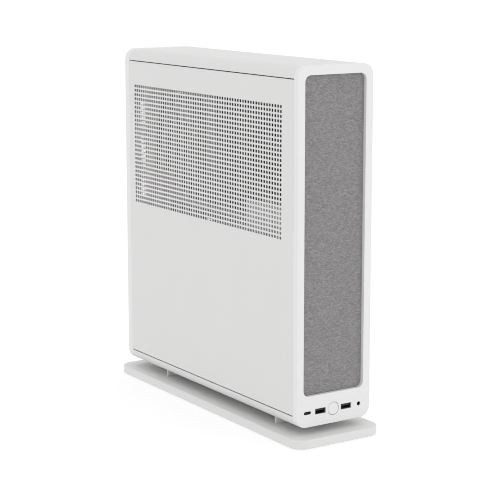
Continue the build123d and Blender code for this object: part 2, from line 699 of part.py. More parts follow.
with BuildPart() as usb_c_port:
    with BuildSketch(at_y(PORT_FACE)):
        with Locations((USB_C_X, PORT_Z)):
            SlotOverall(8.9, 3.2)
    extrude(amount=-8)
    with BuildSketch(at_y(PORT_FACE)):
        with Locations((USB_C_X, PORT_Z)):
            SlotOverall(8.3, 2.6)
            Rectangle(6.6, 0.8, mode=Mode.SUBTRACT)
    extrude(amount=-6.5, mode=Mode.SUBTRACT)
    block(around(USB_C_X, 8), (PORT_FACE + 5.5, PORT_FACE + 8), (IO_BOARD_TOP, PORT_Z - 1.4))
write(usb_c_port, "usb_c_port")

with BuildPart() as audio_jack:
    rod((JACK_X, PORT_FACE + 1.6, PORT_Z), 2.2, 3.2, "y")
    block(around(JACK_X, 6.4), (PORT_FACE + 2.2, PORT_FACE + 14), (IO_BOARD_TOP, PORT_Z + 3))
    rod((JACK_X, PORT_FACE + 6, PORT_Z), 1.8, 13, "y", Mode.SUBTRACT)
write(audio_jack, "audio_jack")

FLANGE_Y = FRONT + 2.9
STEM_END = FRONT + 5.9
SWITCH_Y = STEM_END + BUTTON_TRAVEL + 0.1

with BuildPart() as power_button:
    rod((0, (FRONT + FLANGE_Y) / 2, PORT_Z), BUTTON_R, FLANGE_Y - FRONT, "y")
    rod((0, FLANGE_Y + 0.7, PORT_Z), 8.6, 1.4, "y")
    rod((0, (FLANGE_Y + STEM_END) / 2, PORT_Z), 1.6, STEM_END - FLANGE_Y, "y")
    fillet(power_button.faces().sort_by(Axis.Y)[0].edges(), 0.4)
write(power_button, "power_button")

with BuildPart() as power_switch:
    block((-4, 4), (SWITCH_Y, SWITCH_Y + 6), (IO_BOARD_TOP, 40.4))
write(power_switch, "power_switch")

SPRING_WIRE = 0.25
spring_low = FLANGE_Y + 1.4 + SPRING_WIRE
spring_high = SWITCH_Y - SPRING_WIRE
SPRING_R = 2.6
with BuildPart() as button_spring:
    with BuildLine():
        coil = Helix(
            (spring_high - spring_low) / 3,
            spring_high - spring_low,
            SPRING_R,
            center=(0, spring_low, PORT_Z),
            direction=(0, 1, 0),
        )
    with BuildSketch(Plane(origin=coil @ 0, z_dir=coil % 0)):
        Circle(SPRING_WIRE)
    sweep(path=coil, is_frenet=True)
write(button_spring, "button_spring")
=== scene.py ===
# %% [markdown]
# # A slim upright computer in white sheet metal, moulded plastic and woven cloth
# The engineering model arrives as a fixed frame: every part is already in its place, in metres, and
# nothing is fitted afterwards. This lesson gives it its looks. The smooth skins, the punched side
# panels, the cloth, the fan blades and the small parts on the boards are worked out with numpy. What
# already has the right shape keeps it, and gets welded, softened at its edges and finished.

# %% Load the frame
import json
import math
import bmesh
import bpy
import numpy as np
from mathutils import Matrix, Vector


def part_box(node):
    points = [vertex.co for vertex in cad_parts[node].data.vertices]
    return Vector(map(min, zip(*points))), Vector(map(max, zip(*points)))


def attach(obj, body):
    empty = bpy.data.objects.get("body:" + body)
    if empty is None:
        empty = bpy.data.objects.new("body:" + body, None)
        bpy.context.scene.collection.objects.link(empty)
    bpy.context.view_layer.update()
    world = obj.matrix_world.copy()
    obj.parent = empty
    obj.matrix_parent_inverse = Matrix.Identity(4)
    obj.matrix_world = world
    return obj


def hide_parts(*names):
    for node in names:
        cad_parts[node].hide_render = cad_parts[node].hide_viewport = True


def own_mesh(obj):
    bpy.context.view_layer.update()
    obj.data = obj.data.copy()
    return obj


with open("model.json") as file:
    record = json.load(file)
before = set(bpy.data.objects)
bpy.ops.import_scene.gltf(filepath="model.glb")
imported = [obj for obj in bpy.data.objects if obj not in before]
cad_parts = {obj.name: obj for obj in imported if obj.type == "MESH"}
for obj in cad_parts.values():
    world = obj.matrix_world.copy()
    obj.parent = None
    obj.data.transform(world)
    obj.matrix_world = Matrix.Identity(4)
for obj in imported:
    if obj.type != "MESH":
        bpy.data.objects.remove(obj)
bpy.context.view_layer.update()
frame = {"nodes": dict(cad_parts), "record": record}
MM = 0.001
nodes = frame["nodes"]

# %% [markdown]
# ## Shader maths as expressions
# A finish mixes a few noises and waves. Written as nodes and links that is unreadable, so a socket is
# wrapped in a small class and `1 - mask * 0.3` adds the Math nodes by itself.


# %% A socket that can be added, multiplied and subtracted
class Wave:
    """One output socket. Arithmetic on it adds a Math node and gives the new output."""

    def __init__(self, finish, socket):
        self.finish = finish
        self.socket = socket

    def _math(self, operation, first, second):
        return self.finish.node("Math", {"operation": operation}, {0: first, 1: second})

    def __add__(self, other):
        return self._math("ADD", self, other)

    def __radd__(self, other):
        return self._math("ADD", other, self)

    def __sub__(self, other):
        return self._math("SUBTRACT", self, other)

    def __rsub__(self, other):
        return self._math("SUBTRACT", other, self)

    def __mul__(self, other):
        return self._math("MULTIPLY", self, other)

    def __rmul__(self, other):
        return self._math("MULTIPLY", other, self)


class Finish:
    """A material: a Principled shader with fixed values, and methods for what varies over it."""

    def __init__(self, name, **fixed):
        self.material = bpy.data.materials.new(name)
        self.material.use_nodes = True
        self.tree = self.material.node_tree
        self.shader = self.tree.nodes["Principled BSDF"]
        for socket, value in fixed.items():
            self.shader.inputs[socket.replace("_", " ")].default_value = value
        self.place = self.node("TexCoord", {}, {}, "Object")

    def node(self, kind, settings, sockets, out=0):
        """Adds a node of that type, sets it, then fills its sockets with values or links."""
        made = self.tree.nodes.new("ShaderNode" + kind)
        for key, value in settings.items():
            if key == "stops":
                ramp = made.color_ramp.elements
                while len(ramp) < len(value):
                    ramp.new(0.5)
                for stop, (position, color) in zip(ramp, value):
                    stop.position = position
                    stop.color = (*color, 1)
            else:
                setattr(made, key, value)
        for key, value in sockets.items():
            if isinstance(value, Wave):
                self.tree.links.new(value.socket, made.inputs[key])
            else:
                made.inputs[key].default_value = value
        return Wave(self, made.outputs[out])

    def stretched(self, across, along, up):
        """Object coordinates multiplied along X, Y and Z, in repeats per metre."""
        return self.node("Mapping", {}, {"Vector": self.place, "Scale": (across, along, up)})

    def noise(self, where, detail=2.0, rough=0.5):
        """A noise from 0 to 1 with one feature for each unit of its coordinates."""
        sockets = {"Vector": where, "Scale": 1.0, "Detail": detail, "Roughness": rough}
        return self.node("TexNoise", {}, sockets, "Fac")

    def wave(self, where, axis):
        """A sine from 0 to 1 along one axis."""
        settings = {"wave_type": "BANDS", "bands_direction": axis, "wave_profile": "SIN"}
        return self.node("TexWave", settings, {"Vector": where, "Scale": 1.0}, "Fac")

    def between(self, low, high, factor, blend="MIX"):
        """A colour that runs from low to high as factor runs from 0 to 1; each may be a socket."""
        ends = [end if isinstance(end, Wave) else (*end, 1) for end in (low, high)]
        settings = {"data_type": "RGBA", "blend_type": blend}
        return self.node("Mix", settings, {0: factor, 6: ends[0], 7: ends[1]}, 2)

    def feed(self, socket, value):
        """Links a varying value to the shader."""
        self.tree.links.new(value.socket, self.shader.inputs[socket])
        return self

    def bump(self, height, depth):
        """Raises the surface by height times depth, in metres."""
        sockets = {"Height": height, "Distance": depth, "Strength": 1.0}
        return self.feed("Normal", self.node("Bump", {}, sockets))


print("shader maths ready")

# %% [markdown]
# ## Powder coat
# The sheet metal is sprayed with a dry powder that melts into a fine, faintly pebbled skin. It is not
# flat white: the skin pools and thins over a few centimetres, and each pebble has its own gloss.


# %% Powder-coated steel
def powder_coat(name, low, high, rough):
    """Two nearly equal colours mixed by a broad noise, with a pebble of about 0.5 mm."""
    finish = Finish(name, Specular_IOR_Level=0.45, Coat_Weight=0.06, Coat_Roughness=0.35)
    broad = finish.noise(finish.stretched(18, 18, 18), 3)
    pebble = finish.noise(finish.stretched(1900, 1900, 1900), 2)
    finish.feed("Base Color", finish.between(low, high, broad * 0.7 + pebble * 0.3))
    finish.feed("Roughness", rough + broad * 0.06 + pebble * 0.10)
    return finish.bump(pebble, 0.00004).material


# %% [markdown]
# ## Moulded plastic
# The front, the rear rim and most housings are cast in a steel mould whose walls are eroded by sparks,
# so the plastic comes out with an even satin grain. An image of it would repeat; a fine noise doesn't.
# A second noise, drawn out upwards, gives the faint cloudiness of the flow that filled the mould.


# %% Moulded plastic
def moulded(name, low, high, rough, grain=2600, depth=0.000015):
    """Colour: flow * 0.6 + grain * 0.4 between two near colours; the grain also raises the surface."""
    finish = Finish(name, Specular_IOR_Level=0.5)
    grain_noise = finish.noise(finish.stretched(grain, grain, grain), 2)
    flow = finish.noise(finish.stretched(30, 30, 8), 3)
    finish.feed("Base Color", finish.between(low, high, flow * 0.6 + grain_noise * 0.4))
    finish.feed("Roughness", rough + grain_noise * 0.10 + flow * 0.05)
    return finish.bump(grain_noise, depth).material


# %% [markdown]
# ## Bare and plated metal
# Sockets, studs, screws, heatsinks and the spring are metal without paint. Rolling and drawing leave
# fine scratches along the stock, which a noise shows when it is stretched one way: few features
# along Y and many across. The scratches matter more for the gloss than for the colour.


# %% Bare and plated metal
def brushed(name, low, high, rough, along=(900, 60, 900)):
    """Fine scratches that run along the stock, drawn by a noise stretched along Y."""
    finish = Finish(name, Metallic=1.0)
    scratch = finish.noise(finish.stretched(*along), 4, 0.65)
    cloud = finish.noise(finish.stretched(70, 70, 70), 3)
    finish.feed("Base Color", finish.between(low, high, scratch * 0.5 + cloud * 0.5))
    finish.feed("Roughness", rough + scratch * 0.18 + cloud * 0.06)
    return finish.bump(scratch, 0.000008).material


# %% [markdown]
# ## Circuit board
# Under the lacquer of a board lie copper tracks, in blocks that run the same way, and they stand a
# little proud. Square Voronoi cells choose where the blocks are and a slanting sine draws the tracks,
# so no drawing of a real circuit is needed.


# %% Circuit board
def solder_mask(name, low, high, trace):
    """Tracks where a sine is above 0.62 and a square cell's distance above 0.32: lighter and raised."""
    finish = Finish(name, Specular_IOR_Level=0.5)
    zones = finish.node(
        "TexVoronoi", {"feature": "F1", "distance": "CHEBYCHEV"},
        {"Vector": finish.stretched(90, 90, 90), "Scale": 1.0}, "Distance",
    )
    lines = finish.wave(finish.stretched(0, 190, 60), "DIAGONAL")
    above = {"operation": "GREATER_THAN"}
    mask = finish.node("Math", above, {0: lines, 1: 0.62}) * finish.node("Math", above, {0: zones, 1: 0.32})
    base = finish.between(low, high, finish.noise(finish.stretched(40, 40, 40), 2))
    finish.feed("Base Color", finish.between(base, trace, mask))
    finish.feed("Roughness", 0.34 + mask * 0.08)
    return finish.bump(mask, 0.00002).material


# %% [markdown]
# ## Woven cloth
# The front is a heathered plain weave: grey yarns spun from light and dark fibre, so every yarn changes
# shade along its length. Two noises, each stretched along one set of yarns, give the shades as short
# streaks, and a sine each way gives the over and under. A broad, very weak tint keeps it from being a
# perfectly neutral grey.


# %% Cloth
def heathered_cloth(name):
    """Shade: across * 0.62 + upward * 0.38; weave: over * under + (1 - over) * (1 - under)."""
    finish = Finish(
        name, Roughness=0.92, Sheen_Weight=0.35, Sheen_Roughness=0.5, Specular_IOR_Level=0.2
    )
    across = finish.noise(finish.stretched(300, 300, 850), 2, 0.55)
    upward = finish.noise(finish.stretched(850, 850, 380), 2, 0.55)
    shade = across * 0.62 + upward * 0.38
    dark, middle, light = (0.164, 0.157, 0.160), (0.227, 0.218, 0.221), (0.322, 0.311, 0.314)
    stops = [(0.34, dark), (0.50, middle), (0.68, light)]
    yarn = finish.node("ValToRGB", {"stops": stops}, {"Fac": shade})
    cast = finish.noise(finish.stretched(60, 60, 60), 1)
    tint = finish.between((1.03, 0.98, 1.0), (0.97, 1.02, 1.0), cast)
    finish.feed("Base Color", finish.between(yarn, tint, 1.0, "MULTIPLY"))
    yarns = 280
    over = finish.wave(finish.stretched(yarns, 0, 0), "X")
    under = finish.wave(finish.stretched(0, 0, yarns), "Z")
    weave = over * under + (1 - over) * (1 - under)
    return finish.bump(weave * 0.7 + across * 0.5, 0.00016).material


# %% [markdown]
# ## One finish for each slot
# Each part names its material by a slot. A table from slot to finish keeps every shade in one place,
# with the darker and the lighter colour of a finish side by side. The whites are a little below full
# white, as real paint is, and the blacks a little above black.


# %% All the finishes
finishes = {
    "white_steel": powder_coat("white powder coat", (0.665, 0.665, 0.660), (0.695, 0.695, 0.690), 0.46),
    "white_plastic": moulded("white moulding", (0.720, 0.722, 0.720), (0.750, 0.753, 0.751), 0.40),
    "grey_fabric": heathered_cloth("heathered cloth"),
    "black_plastic": moulded("black moulding", (0.010, 0.010, 0.011), (0.020, 0.020, 0.021), 0.42),
    "dark_rubber": moulded("pad rubber", (0.035, 0.035, 0.036), (0.060, 0.060, 0.060), 0.78, 900),
    "zinc_steel": brushed("zinc plate", (0.50, 0.51, 0.53), (0.66, 0.66, 0.67), 0.26),
    "black_steel": powder_coat("black powder coat", (0.012, 0.012, 0.013), (0.024, 0.024, 0.025), 0.50),
    "bare_aluminium": brushed("bare aluminium", (0.68, 0.69, 0.70), (0.80, 0.80, 0.81), 0.24),
    "black_board": solder_mask("black board", (0.008, 0.009, 0.010), (0.016, 0.017, 0.019),
                               (0.030, 0.030, 0.028)),
    "green_board": solder_mask("green board", (0.010, 0.085, 0.040), (0.016, 0.110, 0.050),
                               (0.030, 0.170, 0.075)),
    "spring_steel": brushed("spring wire", (0.45, 0.45, 0.46), (0.60, 0.60, 0.60), 0.22),
}
print("finishes:", ", ".join(finishes))

# %% [markdown]
# ## Surfaces from numbers
# Most shells here are a stack of closed outlines with the same number of points: neighbouring outlines
# are joined by quads. A rounded rectangle gives the outline, a short profile gives how each outline is
# drawn in or pushed back, and a zip of quads across it closes the first and the last.


# %% Outlines, skins and caps
def rounded(width, height, radius, steps=10):
    """Points of a rounded rectangle, anticlockwise, with `steps` points to each corner.

    A point is the corner's centre plus the radius times (cos, sin) of an angle.
    """
    turn = np.linspace(0, math.pi / 2, steps)
    corners = []
    for quarter, signs in enumerate(((1, 1), (-1, 1), (-1, -1), (1, -1))):
        angle = turn + quarter * math.pi / 2
        middle = np.array(signs) * (width / 2 - radius, height / 2 - radius)
        corners.append(middle + radius * np.stack([np.cos(angle), np.sin(angle)], 1))
    return np.concatenate(corners)


def skin(count, around):
    """Quads between `count` stacked outlines: point p of outline r has the number r * around + p."""
    row, point = np.meshgrid(np.arange(count - 1), np.arange(around), indexing="ij")
    here = row * around + point
    beside = row * around + (point + 1) % around
    return np.stack([here, beside, beside + around, here + around], -1).reshape(-1, 4)


def zip_across(first, around, flip):
    """Quads that close an outline: point p is joined to the one opposite it, around - 1 - p."""
    near = np.arange(around // 2 - 1)
    far = around - 1 - near
    quads = first + np.stack([near, near + 1, far - 1, far], 1)
    return quads[:, ::-1] if flip else quads


def stacked(count, around, first=0):
    """All the quads of a closed stack: its sides, its first outline and its last."""
    last = first + (count - 1) * around
    return [first + skin(count, around), zip_across(first, around, True), zip_across(last, around, False)]


def add_piece(name, points, faces, slot, body, nodes_replaced=(), sharp=35):
    """Puts a surface in the scene; faces is a list of arrays of point numbers, three or four to a row."""
    mesh = bpy.data.meshes.new(name)
    mesh.from_pydata(np.asarray(points).tolist(), [], sum((group.tolist() for group in faces), []))
    mesh.validate()
    shell = bmesh.new()
    shell.from_mesh(mesh)
    bmesh.ops.recalc_face_normals(shell, faces=shell.faces)
    shell.to_mesh(mesh)
    shell.free()
    return finish_piece(name, mesh, slot, body, nodes_replaced, sharp)


def finish_piece(name, mesh, slot, body, nodes_replaced, sharp):
    """Smooth shading, the slot's finish, the body it rides on and the parts it stands for."""
    mesh.shade_smooth()
    mesh.set_sharp_from_angle(angle=math.radians(sharp))
    mesh.materials.clear()
    mesh.materials.append(finishes[slot])
    piece = bpy.data.objects.new(name, mesh)
    bpy.context.scene.collection.objects.link(piece)
    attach(piece, body)
    if nodes_replaced:
        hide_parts(*nodes_replaced)
    return piece


print("outline of", len(rounded(1, 1, 0.1)), "points")

# %% [markdown]
# ## Parts that keep their shape
# A part from the engineering model is loose triangles. A copy is welded, flat neighbours are joined
# back into one face, and the edges get a small rounded bevel: real folded steel and moulded plastic
# never have a perfectly sharp edge, and the thin highlight along it is what tells the eye so.


# %% Slots, bodies and plain finishes
slot_of = {entry["node"]: entry["material_slot"] for entry in frame["record"]["subparts"]}
body_of = {}
for body, members in frame["record"]["behaviour"]["bodies"].items():
    body_of.update(dict.fromkeys(members, body))

for node, thing in nodes.items():
    thing.data.materials.clear()
    thing.data.materials.append(finishes[slot_of[node]])
print("finished as they are:", len(nodes))

# %% [markdown]
# The Bevel modifier works on edges sharper than a set angle, so it only does well on a clean mesh: the
# loose triangles are merged where they touch and the flat ones dissolved into the faces they came
# from. The table gives the bevel's width for each part, from thin sheet to thick mouldings.

# %% Weld and soften a copy of a part
WELD = 2e-6
FLAT = math.radians(0.5)
EDGE = 32


def soften(node, edge):
    """A welded copy of a part with its sharp edges bevelled by `edge` millimetres."""
    mesh = nodes[node].data.copy()
    mesh.name = node + "_soft"
    shell = bmesh.new()
    shell.from_mesh(mesh)
    bmesh.ops.remove_doubles(shell, verts=shell.verts, dist=WELD)
    bmesh.ops.dissolve_limit(
        shell, angle_limit=FLAT, verts=shell.verts, edges=shell.edges, delimit={"NORMAL"}
    )
    shell.to_mesh(mesh)
    shell.free()
    piece = finish_piece(node + "_soft", mesh, slot_of[node], body_of[node], (node,), EDGE)
    if edge:
        bevel = piece.modifiers.new("soft edge", "BEVEL")
        bevel.width = edge * MM
        bevel.segments = 2
        bevel.limit_method = "ANGLE"
        bevel.angle_limit = math.radians(EDGE)
        bevel.use_clamp_overlap = True
    return piece


softened = {
    "front_bezel": 0.45, "rear_frame": 0.5, "stand_legs": 0.2, "rear_panel": 0.12, "io_shield": 0.0,
    "power_inlet": 0.3, "display_ports": 0.15, "rear_usb_ports": 0.15, "network_port": 0.2,
    "usb_a_ports": 0.08, "power_supply_case": 0.4, "power_supply_bracket": 0.15, "storage_drive": 0.5,
    "graphics_shroud": 0.6, "graphics_bracket": 0.1, "graphics_heatsink": 0.1, "riser_card": 0.2,
    "cooler_heatsink": 0.1, "board_heatsinks": 0.3, "memory_modules": 0.25, "storage_stick": 0.2,
    "cooler_fan_frame": 0.5, "case_fan_frame": 0.5, "power_supply_fan_frame": 0.5,
    "fan_bracket": 0.15, "mid_shelf": 0.15, "board_tray": 0.15, "chassis_floor": 0.15,
    "chassis_roof": 0.15, "chassis_front_wall": 0.15, "chassis_rails": 0.15, "processor": 0.15,
    "machine_screws": 0.2, "front_io_board": 0.1, "power_switch": 0.2, "audio_jack": 0.1,
}
for node, edge in softened.items():
    soften(node, edge)
print("softened:", ", ".join(softened))

# %% [markdown]
# The button's return spring can't follow the button as one stiff piece. Here it is a welded copy
# without a bevel, with a mesh of its own.

# %% Return spring
spring = soften("button_spring", 0.0)
low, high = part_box("button_spring")
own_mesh(spring)

# %% [markdown]
# ## Base plate
# A thick plate with broad round corners. Its top edge is rounded by a little more than a millimetre
# and its lower edge is only broken, so the profile is an arc, a wall and a small chamfer.


# %% Base plate
PLATE_CORNER = 15
PLATE_THICK = 10
TOP_ROUND = 1.2
LOWER_BREAK = 0.6


def plate_profile():
    """How far each outline is drawn in, and its height: a broken edge, a wall and a quarter arc."""
    turn = np.linspace(0, math.pi / 2, 6)
    arc = np.stack([TOP_ROUND * (1 - np.cos(turn)), PLATE_THICK - TOP_ROUND * (1 - np.sin(turn))], 1)
    return [(LOWER_BREAK, 0), (0, LOWER_BREAK), *arc]


def slab(name, node, profile):
    """Rounded rectangles, each drawn in and raised by one (inset, height) of a profile in millimetres."""
    low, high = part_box(node)
    middle = (low + high) / 2
    width, length = high.x - low.x, high.y - low.y
    outlines = []
    for inset, height in profile:
        flat = rounded(width - 2 * inset * MM, length - 2 * inset * MM, (PLATE_CORNER - inset) * MM, 14)
        level = np.full(len(flat), low.z + height * MM)
        outlines.append(np.column_stack([flat + (middle.x, middle.y), level]))
    faces = stacked(len(outlines), len(flat))
    return add_piece(name, np.concatenate(outlines), faces, "white_steel", "chassis", (node,))


plate = slab("base_plate_skin", "base_plate", plate_profile())
print("base plate faces:", len(plate.data.polygons))

# %% [markdown]
# ## Top and bottom covers
# Each is a sheet bent round the body's 13 mm corners. Its section is drawn once as a strip with two
# sides, outer and inner, and carried along the depth; a slightly smaller section at each end breaks
# the edge.


# %% Covers
COVER_CORNER = 13 * MM
COVER_THICK = 2 * MM
COVER_EASE = 0.25 * MM


def channel(name, node, upward):
    """A strip bent round two corners, radius times (-cos, sin) of an angle, and carried along Y.

    upward is 1 for the top cover and -1 for the bottom one.
    """
    low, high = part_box(node)
    crown, edge = (high.z, low.z) if upward > 0 else (low.z, high.z)
    turn = np.linspace(0, math.pi / 2, 14)

    def side(inset):
        """Left edge, left corner, right corner and right edge of the section, drawn in by `inset`."""
        arc = (COVER_CORNER - inset) * np.stack([-np.cos(turn), upward * np.sin(turn)], 1)
        left = arc + (COVER_CORNER - high.x, crown - upward * COVER_CORNER)
        foot = np.array([[inset - high.x, edge + upward * COVER_EASE]])
        half = np.concatenate([foot, left])
        return np.concatenate([half, half[::-1] * (-1, 1)])

    full = np.concatenate([side(0), side(COVER_THICK)[::-1]])
    eased = np.concatenate([side(COVER_EASE), side(COVER_THICK - COVER_EASE)[::-1]])
    stations = [(low.y, eased), (low.y + COVER_EASE, full), (high.y - COVER_EASE, full), (high.y, eased)]
    outlines = [np.column_stack([ring[:, 0], np.full(len(ring), y), ring[:, 1]]) for y, ring in stations]
    faces = stacked(len(outlines), len(full))
    return add_piece(name, np.concatenate(outlines), faces, "white_steel", "chassis", (node,))


for name, node, upward in (("top_cover_skin", "top_cover", 1), ("bottom_cover_skin", "bottom_cover", -1)):
    cover = channel(name, node, upward)
    print(cover.name, "faces:", len(cover.data.polygons))

# %% [markdown]
# ## Side panels
# A panel is one steel sheet punched with rows of small square holes with rounded corners, every
# 5.28 mm. A boolean for each of 1708 holes would be slow and untidy. Instead the whole sheet is one
# grid whose lines already pass where the holes need them, and each cell swaps its middle for a ring
# of points. Every wall of every hole is real, so the dark behind it is real too.


# %% One hole and the lines of the grid
HOLE_PITCH = 5.28 * MM
HOLE_COLUMNS = 61
HOLE_ROWS = 28
HOLE_HALF = 1.7 * MM
HOLE_ROUND = 0.8 * MM
FLAT_HALF = HOLE_HALF - HOLE_ROUND
CELL_HALF = HOLE_PITCH / 2


def four_quarters(quarter):
    """A quarter of a ring, then the same turned by one, two and three right angles."""
    turned = [quarter]
    for _ in range(3):
        turned.append(turned[-1][:, ::-1] * (-1, 1))
    return np.concatenate(turned)


def hole_ring(corner_points):
    """A hole's outline and, point for point, the place on its cell's border that it is joined to.

    A quarter of the outline is the flat's end plus the corner radius times (cos, sin) of an angle.
    With three points to a corner the middle one is joined to the cell's own corner.
    """
    angle = np.linspace(0, math.pi / 2, corner_points)
    arc = FLAT_HALF + HOLE_ROUND * np.stack([np.cos(angle), np.sin(angle)], 1)
    border = np.full_like(arc, CELL_HALF)
    border[0, 1] = FLAT_HALF
    border[-1, 0] = FLAT_HALF
    return four_quarters(arc), four_quarters(border)


def grid_lines(low, high, centres):
    """The sheet's two edges, then for every hole the edges of its cell and the ends of its flats."""
    cells = np.unique(np.round(np.concatenate([centres - CELL_HALF, centres + CELL_HALF]), 9))
    return np.sort(np.concatenate([[low, high], cells, centres - FLAT_HALF, centres + FLAT_HALF]))


def find(lines, values):
    """The index of the grid line nearest to each value."""
    places = np.clip(np.searchsorted(lines, values), 1, len(lines) - 1)
    return places - (np.abs(lines[places - 1] - values) < np.abs(lines[places] - values))


print("points around one hole:", len(hole_ring(3)[0]))

# %% [markdown]
# The outer and the inner face of the sheet are the same drawing, so it is made once. Grid squares
# that lie inside a cell are left out, and quads from the cell's border to the hole's outline fill the
# cell again. Where the holes are many, a corner has two points instead of three, and a triangle fills
# what is left at the cell's corner.


# %% One face of the sheet
def punched_face(low, high, columns, rows, corner_points):
    """Points (y, z), faces, and the point numbers of each hole's ring and of the rim.

    Grid point (i, j) has the number i * tall + j; the holes' points follow, ring after ring.
    """
    ys, zs = grid_lines(low.y, high.y, columns), grid_lines(low.z, high.z, rows)
    tall, last_y, last_z = len(zs), len(ys) - 1, len(zs) - 1
    grid = np.stack(np.meshgrid(ys, zs, indexing="ij"), -1).reshape(-1, 2)
    centre = np.stack(np.meshgrid(columns, rows, indexing="ij"), -1).reshape(-1, 1, 2)

    def grid_point(place):
        """The number of the grid point at a place (y, z)."""
        return find(ys, place[..., 0]) * tall + find(zs, place[..., 1])

    outline, border = hole_ring(corner_points)
    rings = centre + outline
    ring = len(grid) + np.arange(rings[..., 0].size).reshape(rings.shape[:2])
    edge = grid_point(centre + border)
    after = np.roll(np.arange(ring.shape[1]), -1)
    punched = np.stack([edge, edge[:, after], ring[:, after], ring], -1).reshape(-1, 4)

    in_column = np.abs((ys[1:] + ys[:-1])[:, None] / 2 - columns).min(1) < CELL_HALF
    in_row = np.abs((zs[1:] + zs[:-1])[:, None] / 2 - rows).min(1) < CELL_HALF
    i, j = np.nonzero(~(in_column[:, None] & in_row))
    plain = np.stack([i * tall + j, (i + 1) * tall + j, (i + 1) * tall + j + 1, i * tall + j + 1], 1)

    faces = [plain, punched]
    if corner_points == 2:
        corner = grid_point(centre + four_quarters(np.array([[CELL_HALF, CELL_HALF]])))
        lead = np.arange(4) * 2
        faces.append(np.stack([edge[:, lead], corner, edge[:, lead + 1]], -1).reshape(-1, 3))
    rim = np.concatenate([
        np.arange(last_y) * tall,
        last_y * tall + np.arange(last_z),
        np.arange(last_y, 0, -1) * tall + last_z,
        np.arange(last_z, 0, -1),
    ])
    return np.concatenate([grid, rings.reshape(-1, 2)]), faces, ring, rim


# %% [markdown]
# Two such faces, a sheet's thickness apart, are joined by the walls of the holes and by a rim whose
# outer edge is eased. The upper and the lower edge of a real panel are folded inwards, which keeps
# the sheet flat: two thin boxes stand for those folds. The left panel is punched once, the right one
# has a second field lower down, beside the graphics card.


# %% The whole panel
PANEL_THICK = 0.6 * MM
PANEL_EASE = 0.2 * MM
REAR_MARGIN = 14.0 * MM
FOLD_DEEP = 5.0 * MM
FOLD_HALF = 165 * MM
BOX_FACES = np.array([(0, 1, 3, 2), (4, 6, 7, 5), (0, 4, 5, 1), (2, 3, 7, 6), (0, 2, 6, 4), (1, 5, 7, 3)])


def between_loops(first, second):
    """Quads between two closed loops of point numbers; each row of an array is a loop of its own."""
    onward = np.roll(first, -1, axis=-1), np.roll(second, -1, axis=-1)
    return np.stack([first, onward[0], onward[1], second], -1).reshape(-1, 4)


def punched_panel(name, node, side, tops, corner_points):
    """Two punched faces, the walls of the holes, an eased rim and two folded edges.

    A point of a face (y, z) goes to x = face_x - side * depth.
    """
    low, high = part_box(node)
    face_x = low.x if side < 0 else high.x
    columns = high.y - REAR_MARGIN - np.arange(HOLE_COLUMNS) * HOLE_PITCH
    rows = np.concatenate([top * MM - np.arange(HOLE_ROWS) * HOLE_PITCH for top in tops])
    layer, faces, ring, rim = punched_face(low, high, columns, rows, corner_points)
    size = len(layer)

    def at_depth(flat, depth):
        """Points (y, z) moved to a depth below the panel's outer face."""
        return np.column_stack([np.full(len(flat), face_x - side * depth), flat])

    eased = layer.copy()
    eased[rim] = np.clip(eased[rim], (low.y + PANEL_EASE, low.z + PANEL_EASE),
                         (high.y - PANEL_EASE, high.z - PANEL_EASE))
    points = [at_depth(eased, 0), at_depth(layer, PANEL_THICK), at_depth(layer[rim], PANEL_EASE)]
    shoulder = 2 * size + np.arange(len(rim))
    faces = faces + [group[:, ::-1] + size for group in faces]
    faces += [between_loops(ring, ring + size), between_loops(rim, shoulder),
              between_loops(shoulder, rim + size)]
    first = 2 * size + len(rim)
    for fold_z in (low.z, high.z - PANEL_THICK):
        spans = ((face_x - side * PANEL_THICK, face_x - side * FOLD_DEEP), (-FOLD_HALF, FOLD_HALF),
                 (fold_z, fold_z + PANEL_THICK))
        points.append(np.stack(np.meshgrid(*spans, indexing="ij"), -1).reshape(-1, 3))
        faces.append(first + BOX_FACES)
        first += len(points[-1])
    piece = add_piece(name, np.concatenate(points), faces, "white_steel", body_of[node], (node,))
    print(name, "faces:", len(piece.data.polygons), "holes:", len(ring))
    return piece


UPPER_FIELD = 370.4
LOWER_FIELD = 206.0
punched_panel("left_panel_sheet", "left_side_panel", -1, (UPPER_FIELD,), 3)
punched_panel("right_panel_sheet", "right_side_panel", 1, (UPPER_FIELD, LOWER_FIELD), 2)

# %% [markdown]
# ## Fan rotors
# A blade is a thin, cambered section drawn at seven radii, each turned a little further than the last,
# so that the blade sweeps forward. The hub is a stack of circles with a shallow dish in its face. An
# array of one blade would do too, but the numbers let a fan have nine blades or eleven, and its hinge
# gives its place, so it turns about its own shaft.


# %% Fans
def blade_section(spread, high, low, thick, steps=9):
    """A section as (angle, height): out along its upper side and back along its lower one.

    The middle line falls from high to low and swells by a sine; the thickness swells with it.
    """
    along = np.linspace(0, 1, steps)
    swell = np.sin(math.pi * along)
    angle = (along - 0.5) * spread
    height = high + (low - high) * along + (high - low) * 0.22 * swell
    half = thick * (0.3 + 0.7 * swell) / 2
    return np.concatenate([angle, angle[::-1]]), np.concatenate([height + half, (height - half)[::-1]])


hinge_of = {joint["child"]: joint["pos_m"] for joint in frame["record"]["behaviour"]["joints"]
            if joint["type"] == "hinge"}
HUB_SHARE = 0.34
SHAFT = 2.0
BACK_GAP = 3.2
FACE_GAP = 0.8
TIP_GAP = 1.3
SWEEP = 0.42
BLADE_THICK = 1.5
BLADE_FILL = 0.92
ROOT_DEEP = 0.5


def hub_profile(hub, low, high):
    """(radius, height) from the end of the shaft, up the hub's side and over to the dish in its face."""
    dish = hub * 0.62
    return [(SHAFT, low - 3), (SHAFT, low), (hub, low), (hub, high - 1.5), (hub - 0.4, high - 0.4),
            (hub - 1.5, high), (dish + 0.3, high), (dish, high - 0.35)]


